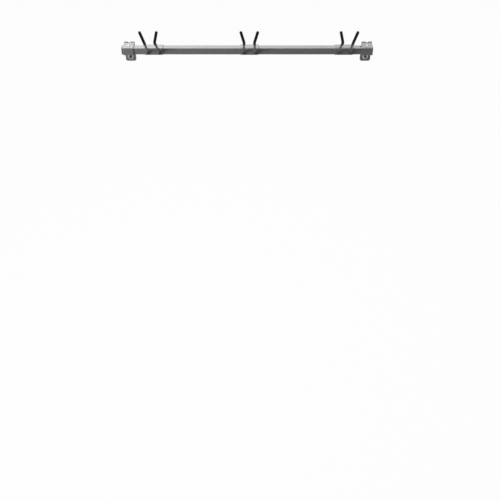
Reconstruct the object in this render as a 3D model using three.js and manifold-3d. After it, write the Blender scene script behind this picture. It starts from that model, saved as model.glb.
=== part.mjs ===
// Ski wall rack: a square steel tube held on a wall by two strap brackets, with three
// two-pronged ski hangers hooked over it. Lengths are in millimetres and angles in radians.
// X runs along the tube, Z is up, and the rack stands out from the wall, the plane Y = 0,
// towards -Y. Z = 0 is the tube's axis and X = 0 the middle of its length.
import * as THREE from "three";
import { mergeVertices } from "three/addons/utils/BufferGeometryUtils.js";
import Module from "manifold-3d";

const wasm = await Module();
wasm.setup();

// Tube and its end caps
const railLength = 914.4; // over both end caps
const tubeSide = 25.4;
const tubeWall = 2;
const tubeCornerRadius = 3;
const paintHoleDiameter = 6; // for hanging the tube up while it is painted
const paintHoleInset = 41.2; // from the rail's end to the hole's centre
const capFlange = 3;
const capEdgeRound = 0.8;
const capPlugWall = 1.6;
const capPlugCornerRadius = 0.6;

// Wall brackets: a plate on the wall and a strap round the tube, welded together. The tube
// stands off the plate, so that a hanger can be hooked over it.
const bracketWidth = 38;
const plateThickness = 4.8;
const plateBottom = -55.6; // below the tube's axis; the plate's top is level with the strap's
const plateBottomCornerRadius = 7;
const tubeStandOff = 12.4; // from the plate's face to the tube
const strapThickness = 3;
const weldLeg = 2; // of the bead in the corner under the strap's lower leg
const seamBeadWidth = 5; // of the flat bead over the joint of the strap's upper leg and the plate
const seamBeadHeight = 1;
const weldLength = 34;
const leftBracketInset = 6.2; // from the rail's end to the bracket
const rightBracketInset = 0;

// Lag screw and washer in each lower tab, and the pan-head screw that locks the tube in each strap
const lagHeight = -37; // where the screw's axis lies, below the tube's axis
const lagShankDiameter = 6.35;
const lagShankLength = 50;
const lagPointLength = 8;
const lagHeadAcrossFlats = 11.1;
const lagHeadHeight = 4.4;
const lagHeadChamfer = 0.9;
const washerDiameter = 20;
const washerThickness = 1.6;
const panShankDiameter = 4.2;
const panShankLength = 16;
const panPointLength = 4;
const panHeadDiameter = 7.8;
const panHeadHeight = 2.8;
const panRecessWidth = 1.1;
const panRecessSpan = 4.2;
const panRecessDepth = 1.3;

// Hanger: a saddle folded over the tube, and two bent rods welded to its front
const saddleWidth = 68;
const saddleThickness = 2.7;
const saddleFrontBottom = -12; // the front leg ends just above the tube's lower edge
const saddleBackBottom = -8;
const saddleCornerRadius = 4; // of the lower corners of both legs
const rodDiameter = 7.94;
const rodRootSpacing = 42; // centre to centre where the rods stand on the saddle
const rodWaistSpacing = 36; // centre to centre where the prongs turn up
const rodTipSpacing = 60; // centre to centre at the tips
const rodFootHeight = -8;
const rodRiseHeight = 2; // where the rod would leave the saddle if its bend were sharp
const waistReach = 86.5; // forward of the tube's front
const waistHeight = 74.5;
const tipReach = 96.5;
const tipHeight = 120.5;
const rootBendRadius = 18;
const waistBendRadius = 20;
const sleeveDiameter = 10;
const sleeveBelowWaist = 17; // how far the sleeve reaches down the rod past the waist's corner
const hangerPlaceShares = { left: -0.3718, middle: 0.0088, right: 0.385 }; // of railLength

// Clearances
const seatGap = 0.3; // between pieces that rest on each other
const slideGap = 0.4; // between a saddle's legs and the tube
const plugGap = 0.3; // round a cap's plug
const plugToScrew = 1.9; // from a plug's inner end to the nearer locking screw
const lagHoleGap = 0.45; // round a lag screw's shank
const panHoleGap = 0.35;
const sleeveGap = 0.3; // between a rod and its sleeve
const cutOverrun = 2; // how far a cutting body stands past what it cuts

// Facets
const cornerSteps = 4;
const bendSteps = 5;
const rodSides = 16;
const holeSides = 24;
const domeSides = 16;

// Places that follow from the sizes above
const tubeHalf = tubeSide / 2;
const tubeBack = plateThickness + tubeStandOff; // forward of the wall
const tubeCentre = tubeBack + tubeHalf;
const tubeFront = tubeBack + tubeSide;
const tubeLength = railLength - 2 * (capFlange + seatGap);
const saddleFace = tubeFront + slideGap + saddleThickness;
const bracketPlaces = {
  left: -(railLength / 2 - leftBracketInset - bracketWidth / 2),
  right: railLength / 2 - rightBracketInset - bracketWidth / 2,
};
const strapInside = tubeHalf + seatGap; // above and below the tube's axis
const strapOutside = strapInside + strapThickness;
const panHoleDiameter = panShankDiameter + 2 * panHoleGap;
const screwInset = Math.min(leftBracketInset, rightBracketInset) + bracketWidth / 2;
const capPlugLength = screwInset - panShankDiameter / 2 - plugToScrew - capFlange;
const rodRadius = rodDiameter / 2;
const rodRootForward = saddleFace + seatGap + rodRadius;

const paint = { color: 0x77787a, roughness: 0.42, metalness: 0.55 };
const finishes = {
  tube: new THREE.MeshStandardMaterial(paint),
  bracket: new THREE.MeshStandardMaterial(paint),
  saddle: new THREE.MeshStandardMaterial(paint),
  rod: new THREE.MeshStandardMaterial(paint),
  cap: new THREE.MeshStandardMaterial({ color: 0x4a4b4d, roughness: 0.5, metalness: 0 }),
  sleeve: new THREE.MeshStandardMaterial({ color: 0x0c0c0d, roughness: 0.38, metalness: 0 }),
  zinc: new THREE.MeshStandardMaterial({ color: 0xb4b6b8, roughness: 0.35, metalness: 0.9 }),
};

const axisCount = 3;

// A closed three.js geometry as a solid that can be joined and cut.
function toSolid(geometry) {
  const bare = geometry.clone();
  bare.deleteAttribute("normal");
  bare.deleteAttribute("uv");
  const merged = mergeVertices(bare);
  return new wasm.Manifold(
    new wasm.Mesh({
      numProp: axisCount,
      vertProperties: merged.attributes.position.array,
      triVerts: new Uint32Array(merged.index.array),
    }),
  );
}

// The solid's surface as a three.js geometry.
function toGeometry(solid) {
  const mesh = solid.getMesh();
  const positions = new Float32Array(mesh.numVert * axisCount);
  for (let i = 0; i < mesh.numVert; i++) {
    const start = i * mesh.numProp;
    positions.set(mesh.vertProperties.subarray(start, start + axisCount), i * axisCount);
  }
  const geometry = new THREE.BufferGeometry();
  geometry.setAttribute("position", new THREE.BufferAttribute(positions, axisCount));
  geometry.setIndex(new THREE.BufferAttribute(mesh.triVerts, 1));
  geometry.computeVertexNormals();
  return geometry;
}

// The points and directions along the arc that rounds a corner between two straight runs.
function cornerArc(before, corner, after, radius, steps) {
  const arriving = corner.clone().sub(before).normalize();
  const leaving = after.clone().sub(corner).normalize();
  const turn = arriving.angleTo(leaving);
  const setBack = radius * Math.tan(turn / 2);
  const start = corner.clone().addScaledVector(arriving, -setBack);
  const inward = leaving.clone().addScaledVector(arriving, -arriving.dot(leaving)).normalize();
  const centre = start.clone().addScaledVector(inward, radius);
  return Array.from({ length: steps + 1 }, (_, i) => {
    const angle = (turn * i) / steps;
    const point = centre.clone();
    point.addScaledVector(inward, -radius * Math.cos(angle));
    point.addScaledVector(arriving, radius * Math.sin(angle));
    const direction = arriving.clone().multiplyScalar(Math.cos(angle));
    direction.addScaledVector(inward, Math.sin(angle));
    return { point, direction };
  });
}

// A closed outline through corners given as [x, y, radius], as a THREE.Shape or Path.
function roundedOutline(corners, Kind = THREE.Shape) {
  const count = corners.length;
  const at = (i) => {
    const [x, y] = corners[(i + count) % count];
    return new THREE.Vector3(x, y, 0);
  };
  const points = corners.flatMap(([, , radius], i) => {
    if (!radius) return [at(i)];
    return cornerArc(at(i - 1), at(i), at(i + 1), radius, cornerSteps).map((s) => s.point);
  });
  return new Kind(points.map((p) => new THREE.Vector2(p.x, p.y)));
}

// A rectangle centred on the origin with one corner radius.
function roundedRectangle(width, height, radius, Kind = THREE.Shape) {
  const x = width / 2;
  const y = height / 2;
  const corners = [
    [-x, -y, radius],
    [x, -y, radius],
    [x, y, radius],
    [-x, y, radius],
  ];
  return roundedOutline(corners, Kind);
}

function circle(diameter, sides) {
  const points = Array.from({ length: sides }, (_, i) => {
    const angle = (2 * Math.PI * i) / sides;
    return new THREE.Vector2(Math.cos(angle), Math.sin(angle)).multiplyScalar(diameter / 2);
  });
  return new THREE.Shape(points);
}

const alongX = new THREE.Vector3(1, 0, 0);
const forward = new THREE.Vector3(0, -1, 0);
const up = new THREE.Vector3(0, 0, 1);

// A section drawn as (forward, up), drawn out to a width along X about X = 0.
function sideExtrusion(shape, width) {
  const geometry = new THREE.ExtrudeGeometry(shape, { depth: width, bevelEnabled: false });
  geometry.translate(0, 0, -width / 2);
  const basis = new THREE.Matrix4().makeBasis(forward, up, alongX.clone().negate());
  return geometry.applyMatrix4(basis);
}

// An outline drawn as (X, up), drawn out forwards from one distance off the wall to another.
function frontExtrusion(shape, from, to, bevel = {}) {
  const options = { depth: to - from, bevelEnabled: false, ...bevel };
  const geometry = new THREE.ExtrudeGeometry(shape, options);
  geometry.translate(0, 0, from);
  return geometry.applyMatrix4(new THREE.Matrix4().makeBasis(alongX, up, forward));
}

// A turned piece on an axis that points forwards: its profile is a list of [radius, forward].
function turned(profile, sides) {
  const points = profile.map(([radius, along]) => new THREE.Vector2(radius, along));
  return new THREE.LatheGeometry(points, sides).rotateX(Math.PI);
}

// A strip bent to a polyline of [forward, up] points along its inside, as one closed section.
function bentStrip(inside, insideRadius, thickness) {
  const last = inside.length - 1;
  const side = (i) => {
    const [x0, y0] = inside[i];
    const [x1, y1] = inside[i + 1];
    const length = Math.hypot(x1 - x0, y1 - y0);
    return [-(y1 - y0) / length, (x1 - x0) / length];
  };
  const offset = ([x, y], i) => {
    const before = side(Math.max(i - 1, 0));
    const after = side(Math.min(i, last - 1));
    const same = i === 0 || i === last;
    const shiftX = same ? before[0] : before[0] + after[0];
    const shiftY = same ? before[1] : before[1] + after[1];
    return [x + shiftX * thickness, y + shiftY * thickness];
  };
  const isEnd = (i) => i === 0 || i === last;
  const inner = inside.map(([x, y], i) => [x, y, isEnd(i) ? 0 : insideRadius]);
  const outer = inside.map((p, i) => [...offset(p, i), isEnd(i) ? 0 : insideRadius + thickness]);
  return roundedOutline([...inner, ...outer.reverse()]);
}

// A path through given points and directions, one step from each to the next.
class StationPath extends THREE.Curve {
  constructor(stations) {
    super();
    this.stations = stations;
  }
  station(u) {
    return this.stations[Math.round(u * (this.stations.length - 1))];
  }
  getPoint(u, target = new THREE.Vector3()) {
    return target.copy(this.station(u).point);
  }
  getPointAt(u, target) {
    return this.getPoint(u, target);
  }
  getTangentAt(u, target = new THREE.Vector3()) {
    return target.copy(this.station(u).direction);
  }
}

// A round bar through stations.
function roundBar(stations, diameter) {
  const options = { steps: stations.length - 1, extrudePath: new StationPath(stations) };
  return new THREE.ExtrudeGeometry(circle(diameter, rodSides), options);
}

const rack = new THREE.Group();

function addPiece(parent, name, geometry, finish, place = {}) {
  const mesh = new THREE.Mesh(geometry, finishes[finish]);
  mesh.name = name;
  mesh.position.set(place.x ?? 0, -(place.forward ?? 0), place.up ?? 0);
  parent.add(mesh);
  return mesh;
}

// An upright drill through a wall whose outer face lies at a height.
function uprightDrill(diameter, wall, height) {
  const radius = diameter / 2;
  const drill = new THREE.CylinderGeometry(radius, radius, wall + 2 * cutOverrun, holeSides);
  drill.rotateX(Math.PI / 2);
  drill.translate(0, 0, height - wall / 2);
  return drill;
}

// The tube, with a paint hole and a locking screw's hole through its top wall near each end.
function tubeGeometry() {
  const section = roundedRectangle(tubeSide, tubeSide, tubeCornerRadius);
  const boreSide = tubeSide - 2 * tubeWall;
  section.holes.push(roundedRectangle(boreSide, boreSide, tubeCornerRadius - tubeWall, THREE.Path));
  let tube = toSolid(sideExtrusion(section, tubeLength));
  const paintHolePlace = railLength / 2 - paintHoleInset;
  const holes = [
    [-paintHolePlace, paintHoleDiameter],
    [paintHolePlace, paintHoleDiameter],
    [bracketPlaces.left, panHoleDiameter],
    [bracketPlaces.right, panHoleDiameter],
  ];
  for (const [x, diameter] of holes) {
    const drill = uprightDrill(diameter, tubeWall, tubeHalf);
    drill.translate(x, 0, 0);
    tube = tube.subtract(toSolid(drill));
  }
  return toGeometry(tube);
}

// An end cap: a flange with a softened rim, and a hollow plug inside the tube. It is drawn for
// the tube's +X end, with X = 0 on the flange's inner face.
function capGeometry() {
  const rim = tubeSide - 2 * capEdgeRound;
  const flange = new THREE.ExtrudeGeometry(
    roundedRectangle(rim, rim, tubeCornerRadius - capEdgeRound),
    {
      depth: capFlange - capEdgeRound,
      bevelThickness: capEdgeRound,
      bevelSize: capEdgeRound,
      bevelSegments: 2,
    },
  );
  const behind = new THREE.BoxGeometry(2 * tubeSide, 2 * tubeSide, capEdgeRound);
  behind.translate(0, 0, -capEdgeRound / 2);
  const plugSide = tubeSide - 2 * (tubeWall + plugGap);
  const plugOutline = roundedRectangle(plugSide, plugSide, capPlugCornerRadius);
  const hollowSide = plugSide - 2 * capPlugWall;
  const hollow = roundedRectangle(hollowSide, hollowSide, capPlugCornerRadius, THREE.Path);
  plugOutline.holes.push(hollow);
  const plug = new THREE.ExtrudeGeometry(plugOutline, {
    depth: capPlugLength + capFlange / 2,
    bevelEnabled: false,
  });
  plug.translate(0, 0, -capPlugLength);
  const cap = toSolid(flange).subtract(toSolid(behind)).add(toSolid(plug));
  const geometry = toGeometry(cap);
  return geometry.applyMatrix4(new THREE.Matrix4().makeBasis(forward.clone().negate(), up, alongX));
}

// The bracket's plate stands on the wall. Its strap goes from the plate's top over the tube, down
// the front and back under the tube to the plate, and both legs are welded on.
function bracketGeometry() {
  const half = bracketWidth / 2;
  const plate = roundedOutline([
    [-half, plateBottom, plateBottomCornerRadius],
    [half, plateBottom, plateBottomCornerRadius],
    [half, strapOutside, 0],
    [-half, strapOutside, 0],
  ]);
  const strapFront = tubeFront + seatGap;
  const strapRoot = plateThickness / 2;
  const inside = [
    [strapRoot, strapInside],
    [strapFront, strapInside],
    [strapFront, -strapInside],
    [strapRoot, -strapInside],
  ];
  const strap = bentStrip(inside, tubeCornerRadius + seatGap, strapThickness);
  const seamBead = roundedOutline([
    [plateThickness - seamBeadWidth / 2, strapOutside - seamBeadHeight, 0],
    [plateThickness + seamBeadWidth / 2, strapOutside - seamBeadHeight, 0],
    [plateThickness + seamBeadWidth / 2, strapOutside, 0],
    [plateThickness + seamBeadWidth / 4, strapOutside + seamBeadHeight, 0],
    [plateThickness - seamBeadWidth / 4, strapOutside + seamBeadHeight, 0],
    [plateThickness - seamBeadWidth / 2, strapOutside, 0],
  ]);
  const cornerBead = roundedOutline([
    [strapRoot, -strapOutside + weldLeg / 2, 0],
    [strapRoot, -strapOutside - weldLeg, 0],
    [plateThickness, -strapOutside - weldLeg, 0],
    [plateThickness + weldLeg, -strapOutside, 0],
    [plateThickness + weldLeg, -strapOutside + weldLeg / 2, 0],
  ]);
  let bracket = toSolid(frontExtrusion(plate, 0, plateThickness));
  bracket = bracket.add(toSolid(sideExtrusion(strap, bracketWidth)));
  bracket = bracket.add(toSolid(sideExtrusion(seamBead, weldLength)));
  bracket = bracket.add(toSolid(sideExtrusion(cornerBead, weldLength)));
  const lagHole = circle(lagShankDiameter + 2 * lagHoleGap, holeSides);
  const lagCut = frontExtrusion(lagHole, -cutOverrun, plateThickness + cutOverrun);
  lagCut.translate(0, 0, lagHeight);
  const panCut = uprightDrill(panHoleDiameter, strapThickness, strapOutside);
  panCut.translate(0, -tubeCentre, 0);
  return toGeometry(bracket.subtract(toSolid(lagCut)).subtract(toSolid(panCut)));
}

// A screw's head stands on one side of its own origin, and its pointed shank runs back from it.
function shankProfile(diameter, length, point) {
  return [
    [0, -length],
    [diameter / 2, point - length],
    [diameter / 2, 0],
  ];
}

function lagScrewGeometry() {
  const shank = shankProfile(lagShankDiameter, lagShankLength, lagPointLength);
  shank.push([lagShankDiameter / 2, lagHeadHeight / 2], [0, lagHeadHeight / 2]);
  const corner = lagHeadAcrossFlats / 2 / Math.cos(Math.PI / 6);
  const hexagon = circle(2 * corner, 6);
  const rounding = [
    [0, -lagHeadHeight],
    [corner + lagHeadChamfer, -lagHeadHeight],
    [corner + lagHeadChamfer, lagHeadHeight - 2 * lagHeadChamfer],
    [corner - lagHeadChamfer, lagHeadHeight],
    [0, lagHeadHeight],
  ];
  const head = toSolid(frontExtrusion(hexagon, 0, lagHeadHeight));
  const chamfered = head.intersect(toSolid(turned(rounding, holeSides)));
  return toGeometry(chamfered.add(toSolid(turned(shank, rodSides))));
}

function washerGeometry() {
  const bore = lagShankDiameter / 2 + lagHoleGap;
  const edge = washerDiameter / 2;
  const profile = [
    [bore, 0],
    [edge, 0],
    [edge, washerThickness],
    [bore, washerThickness],
    [bore, 0],
  ];
  return turned(profile, holeSides);
}

// The locking screw stands upright, head up, in the strap's top and the tube's.
function panScrewGeometry() {
  const shank = shankProfile(panShankDiameter, panShankLength, panPointLength);
  const headRadius = panHeadDiameter / 2;
  const crown = panHeadHeight / 2;
  const profile = [
    ...shank,
    [headRadius, 0],
    [headRadius, crown],
    [headRadius * Math.cos(Math.PI / 6), crown + crown / 2],
    [headRadius * Math.cos(Math.PI / 3), panHeadHeight - crown / 8],
    [0, panHeadHeight],
  ];
  let screw = toSolid(turned(profile, rodSides));
  for (const turn of [0, Math.PI / 2]) {
    const slot = new THREE.BoxGeometry(panRecessSpan, panRecessDepth + cutOverrun, panRecessWidth);
    slot.rotateY(turn);
    slot.translate(0, -(panHeadHeight - panRecessDepth + (panRecessDepth + cutOverrun) / 2), 0);
    screw = screw.subtract(toSolid(slot));
  }
  return toGeometry(screw).rotateX(-Math.PI / 2);
}

// The saddle hooks over the tube: a short leg behind it, its top, and a leg down its front.
function saddleGeometry() {
  const insideBack = tubeBack - slideGap;
  const insideFront = tubeFront + slideGap;
  const insideTop = tubeHalf + seatGap;
  const inside = [
    [insideBack, saddleBackBottom],
    [insideBack, insideTop],
    [insideFront, insideTop],
    [insideFront, saddleFrontBottom],
  ];
  const section = bentStrip(inside, tubeCornerRadius + seatGap, saddleThickness);
  const half = saddleWidth / 2;
  const topEdge = insideTop + saddleThickness + cutOverrun;
  const view = (bottom) =>
    roundedOutline([
      [-half, bottom, saddleCornerRadius],
      [half, bottom, saddleCornerRadius],
      [half, topEdge, 0],
      [-half, topEdge, 0],
    ]);
  const backView = frontExtrusion(view(saddleBackBottom), 0, tubeCentre);
  const frontView = frontExtrusion(view(saddleFrontBottom), tubeCentre, saddleFace + cutOverrun);
  const folded = toSolid(sideExtrusion(section, saddleWidth));
  return toGeometry(folded.intersect(toSolid(backView).add(toSolid(frontView))));
}

// The centre line of a prong on one side of its hanger, as stations from foot to tip.
function prongStations(side) {
  const place = (spacing, out, height) => new THREE.Vector3((side * spacing) / 2, -out, height);
  const foot = place(rodRootSpacing, rodRootForward, rodFootHeight);
  const rise = place(rodRootSpacing, rodRootForward, rodRiseHeight);
  const waist = place(rodWaistSpacing, tubeFront + waistReach, waistHeight);
  const tip = place(rodTipSpacing, tubeFront + tipReach, tipHeight);
  const straight = (from, to) => to.clone().sub(from).normalize();
  const firstBend = cornerArc(foot, rise, waist, rootBendRadius, bendSteps);
  const secondBend = cornerArc(rise, waist, tip, waistBendRadius, bendSteps);
  const rising = straight(rise, waist);
  const last = straight(waist, tip);
  const sleeveStart = waist.clone().addScaledVector(rising, -sleeveBelowWaist);
  const domeCentre = tip.clone().addScaledVector(last, -sleeveDiameter / 2);
  const root = [{ point: foot, direction: straight(foot, rise) }, ...firstBend];
  const covered = [
    { point: sleeveStart, direction: rising },
    ...secondBend,
    { point: domeCentre, direction: last },
  ];
  return { root, covered };
}

function rodGeometry(side) {
  const { root, covered } = prongStations(side);
  return roundBar([...root, ...covered], rodDiameter);
}

// The sleeve covers the prong's upper end and closes over it in a dome.
function sleeveGeometry(side) {
  const { covered } = prongStations(side);
  const first = covered[0];
  const end = covered[covered.length - 1];
  const boreDiameter = rodDiameter + 2 * sleeveGap;
  const moved = ({ point, direction }, distance) => ({
    point: point.clone().addScaledVector(direction, distance),
    direction,
  });
  const dome = new THREE.SphereGeometry(sleeveDiameter / 2, domeSides, domeSides / 2);
  const pole = new THREE.Vector3(0, 1, 0);
  dome.applyQuaternion(new THREE.Quaternion().setFromUnitVectors(pole, end.direction));
  dome.translate(end.point.x, end.point.y, end.point.z);
  const bore = [moved(first, -cutOverrun), ...covered.slice(1, -1), moved(end, sleeveGap)];
  const outside = toSolid(roundBar(covered, sleeveDiameter)).add(toSolid(dome));
  return toGeometry(outside.subtract(toSolid(roundBar(bore, boreDiameter))));
}

addPiece(rack, "bar_tube", tubeGeometry(), "tube", { forward: tubeCentre });
const rightCap = capGeometry();
const leftCap = rightCap.clone().rotateZ(Math.PI);
const capPlace = tubeLength / 2 + seatGap;
addPiece(rack, "end_cap_left", leftCap, "cap", { x: -capPlace, forward: tubeCentre });
addPiece(rack, "end_cap_right", rightCap, "cap", { x: capPlace, forward: tubeCentre });

const bracket = bracketGeometry();
const washer = washerGeometry();
const lagScrew = lagScrewGeometry();
const panScrew = panScrewGeometry();
for (const [side, x] of Object.entries(bracketPlaces)) {
  const washerSeat = plateThickness + seatGap;
  const lagSeat = washerSeat + washerThickness + seatGap;
  addPiece(rack, `wall_bracket_${side}`, bracket, "bracket", { x });
  addPiece(rack, `lag_washer_${side}`, washer, "zinc", { x, forward: washerSeat, up: lagHeight });
  addPiece(rack, `lag_screw_${side}`, lagScrew, "zinc", { x, forward: lagSeat, up: lagHeight });
  addPiece(rack, `top_screw_${side}`, panScrew, "zinc", {
    x,
    forward: tubeCentre,
    up: strapOutside + seatGap,
  });
}

const saddle = saddleGeometry();
const prongSides = { left: -1, right: 1 };
for (const [place, share] of Object.entries(hangerPlaceShares)) {
  const hanger = new THREE.Group();
  hanger.position.x = share * railLength;
  addPiece(hanger, `${place}_hanger_saddle`, saddle, "saddle");
  for (const [side, sign] of Object.entries(prongSides)) {
    addPiece(hanger, `${place}_hanger_rod_${side}`, rodGeometry(sign), "rod");
    addPiece(hanger, `${place}_hanger_sleeve_${side}`, sleeveGeometry(sign), "sleeve");
  }
  rack.add(hanger);
}

export default rack;
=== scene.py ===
"""Ski wall rack: the finished look of every piece, modelled round the fixed frame of the part.

Lengths are in metres. X runs along the bar, Z is up, and the rack stands out from the wall,
the plane Y = 0, towards -Y. Every finished piece has its place in the frame in its mesh.
"""

import math
from contextlib import contextmanager

import bmesh
import bpy
from bpy.props import FloatProperty, FloatVectorProperty, IntProperty, PointerProperty
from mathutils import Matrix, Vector


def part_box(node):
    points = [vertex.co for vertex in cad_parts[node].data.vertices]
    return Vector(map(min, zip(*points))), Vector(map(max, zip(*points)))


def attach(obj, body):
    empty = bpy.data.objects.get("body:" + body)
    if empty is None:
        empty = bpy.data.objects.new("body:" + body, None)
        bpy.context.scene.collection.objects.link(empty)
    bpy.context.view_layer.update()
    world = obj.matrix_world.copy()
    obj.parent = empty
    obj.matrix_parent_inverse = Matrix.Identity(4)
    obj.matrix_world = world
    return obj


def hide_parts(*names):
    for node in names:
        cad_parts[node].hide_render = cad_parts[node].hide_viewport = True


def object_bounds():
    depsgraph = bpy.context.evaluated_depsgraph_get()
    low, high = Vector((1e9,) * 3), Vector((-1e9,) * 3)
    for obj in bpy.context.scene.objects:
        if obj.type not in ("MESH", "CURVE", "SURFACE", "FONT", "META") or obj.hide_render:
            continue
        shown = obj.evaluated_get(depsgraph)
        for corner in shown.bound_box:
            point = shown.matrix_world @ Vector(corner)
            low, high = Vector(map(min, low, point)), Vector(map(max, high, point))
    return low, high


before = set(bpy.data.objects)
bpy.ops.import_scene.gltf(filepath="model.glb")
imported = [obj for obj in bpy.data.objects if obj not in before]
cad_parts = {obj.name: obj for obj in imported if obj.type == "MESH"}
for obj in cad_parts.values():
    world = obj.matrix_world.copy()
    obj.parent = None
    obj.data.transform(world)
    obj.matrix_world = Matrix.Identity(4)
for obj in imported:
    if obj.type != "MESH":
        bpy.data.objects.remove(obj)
cad_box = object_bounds()

bl_info = {
    "name": "Ski wall rack",
    "version": (1, 0, 0),
    "blender": (4, 5, 0),
    "location": "3D View > Sidebar > Ski rack",
    "description": "Models the pieces and finishes of a ski wall rack round its fixed frame",
    "category": "Object",
}

SIDES = {"left": -1, "right": 1}
HANGERS = ("left", "middle", "right")
RIGHT_ANGLE = math.pi / 2
FORWARDS = (RIGHT_ANGLE, 0, 0)  # the turn that points +Z away from the wall
SMOOTH_ANGLE = math.radians(35)  # edges flatter than this are shaded smooth
SHARP_ANGLE = math.radians(40)  # edges sharper than this are softened
TOUCH = 1e-5  # places nearer than this count as one
MERGE = 1e-6  # doubled points nearer than this are merged
PARALLEL = 1e-4  # how far an edge may lean from the axis that it runs along
FACING = 0.9  # the least share of a face's normal along the axis that it faces
BOX_SLACK = 0.0015  # how far a piece may depart from its node's box
CUTTER_SHARE = 2  # a cutter is this many times as thick as what it cuts
SENSOR_WIDTH = 36  # the camera's, in millimetres


def metres(name, description, default):
    """A property that holds a length."""
    return FloatProperty(name=name, description=description, default=default, unit="LENGTH")


def metres_each(name, description, default):
    """A property that holds a place, or the two sides of a lamp."""
    return FloatVectorProperty(
        name=name, description=description, default=default, size=len(default), unit="LENGTH"
    )


def degrees(name, description, default):
    """A property that holds an angle, its default given in degrees."""
    return FloatProperty(
        name=name, description=description, default=math.radians(default), subtype="ANGLE"
    )


def watts(name, description, default):
    """A property that holds a lamp's power."""
    return FloatProperty(name=name, description=description, default=default, unit="POWER")


def tint(name, description, default):
    """A property that holds a colour."""
    return FloatVectorProperty(name=name, description=description, default=default, subtype="COLOR")


def whole(name, description, default):
    """A property that holds a number of sides or steps."""
    return IntProperty(name=name, description=description, default=default)


class RackCamera(bpy.types.PropertyGroup):
    """Where the camera stands, measured from the bar's upper front edge."""

    distance: metres("Distance", "From the bar to the camera", 2.7)
    side: metres("Side step", "How far right of the bar's middle", 0.0105)
    above: degrees("Height angle", "The angle above the horizon at which the camera sees the bar", 25.7)
    tilt: degrees("Tilt", "How far down the camera looks, which puts the bar high in the frame", 41.43)
    lens: FloatProperty(name="Lens", description="Focal length in millimetres", default=51.59)


class RackStage(bpy.types.PropertyGroup):
    """The floor, the daylight round the rack and the lamps."""

    floor_drop: metres("Floor", "How far the floor lies below the bar", 1.85)
    floor_size: metres("Floor size", "Length of the floor's side", 60)
    floor_colour: tint("Floor colour", "Colour of the floor", (0.5, 0.5, 0.5))
    floor_glow: FloatProperty(
        name="Floor glow", description="Share of plain white in what the camera sees", default=0.975
    )
    daylight: FloatProperty(
        name="Daylight", description="Strength of the even light from all round", default=0.02
    )
    key_power: watts("Overhead lamp", "Power of the large lamp above", 165)
    key_place: metres_each("Overhead place", "Where the overhead lamp hangs", (-0.9, 0.5, 2.2))
    key_size: metres_each("Overhead size", "Width and depth of the overhead lamp", (2.2, 1.4))
    key_colour: tint("Overhead colour", "Cool white of the overhead lamp", (0.96, 0.98, 1.0))
    left_power: watts("Left lamp", "Power of the lamp in front on the left", 30)
    right_power: watts("Right lamp", "Power of the lamp in front on the right", 4.5)
    side_place: metres_each("Side place", "Place of the right lamp; the left mirrors it", (1.9, -1.3, 0.5))
    side_size: metres_each("Side size", "Width and height of the left and right lamps", (0.9, 0.9))
    side_colour: tint("Side colour", "Warm white of the left and right lamps", (1.0, 0.965, 0.94))


class RackFinish(bpy.types.PropertyGroup):
    """Colours and surface sizes of the rack's materials."""

    paint: tint("Paint", "Grey of the hammered paint", (0.215, 0.212, 0.216))
    dimple: metres("Hammer mark", "Width of one mark in the paint", 0.0026)
    # Painted shade: the rods' grey is set far darker than the bar's paint to stand for the shade they lie
    # in.
    shaded_rod_paint: tint("Rod paint", "Darker grey of the rods", (0.045, 0.042, 0.042))
    zinc: tint("Zinc", "Colour of the washers and the upper screws", (0.5, 0.51, 0.53))
    dark_zinc: tint("Dark zinc", "Colour of the lag screws", (0.058, 0.057, 0.056))
    vinyl: tint("Vinyl", "Colour of the dipped sleeves", (0.0045, 0.0043, 0.0043))
    plastic: tint("Cap plastic", "Colour of the end caps", (0.062, 0.062, 0.066))


class BarSizes(bpy.types.PropertyGroup):
    """Sizes of the square tube and its end caps."""

    wall: metres("Wall", "Thickness of the tube's wall", 0.002)
    corner: metres("Corner", "Outside radius of the tube's corners", 0.003)
    hole: metres("Paint hole", "Width of the paint holes in the top wall", 0.008)
    lock_hole: metres("Screw hole", "Width of the upper screws' holes", 0.0049)
    hole_inset: metres("Hole inset", "From the caps' outer face to a paint hole's centre", 0.042)
    flange: metres("Cap flange", "Thickness of a cap's outer flange", 0.003)
    cap_edge: metres("Cap edge", "Radius of a cap's outer rim", 0.001)
    plug_wall: metres("Plug wall", "Thickness of the wall of a cap's plug", 0.0016)
    plug_gap: metres("Plug gap", "Between a cap's plug and the tube", 0.0003)


class BracketSizes(bpy.types.PropertyGroup):
    """Sizes of the wall brackets."""

    plate: metres("Plate", "Thickness of the wall plate", 0.0048)
    strap: metres("Strap", "Thickness of the strap round the tube", 0.003)
    gap: metres("Gap", "Between the strap and the tube", 0.0003)
    corner: metres("Corner", "Radius of the lower tab's corners", 0.007)
    lag_hole: metres("Lag hole", "Width of the lag screw's hole", 0.00725)
    lock_hole: metres("Top hole", "Width of the hole in the strap's top", 0.0049)
    tab_rise: metres("Upper tab", "How far the plate rises above the strap", 0.0032)
    tab_corner: metres("Tab corner", "Radius of the upper tab's corners", 0.0012)
    slot: metres("Slot", "Width of the open slot in the plate's top", 0.0095)
    slot_corner: metres("Slot corner", "Radius of the slot's lower corners", 0.002)
    slot_floor: metres("Slot floor", "How far the slot's floor lies above the strap", 0.0004)
    bead: metres("Weld", "Radius of the welds between plate and strap", 0.0019)
    bead_inset: metres("Weld inset", "From an edge to the end of a weld", 0.002)


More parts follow.
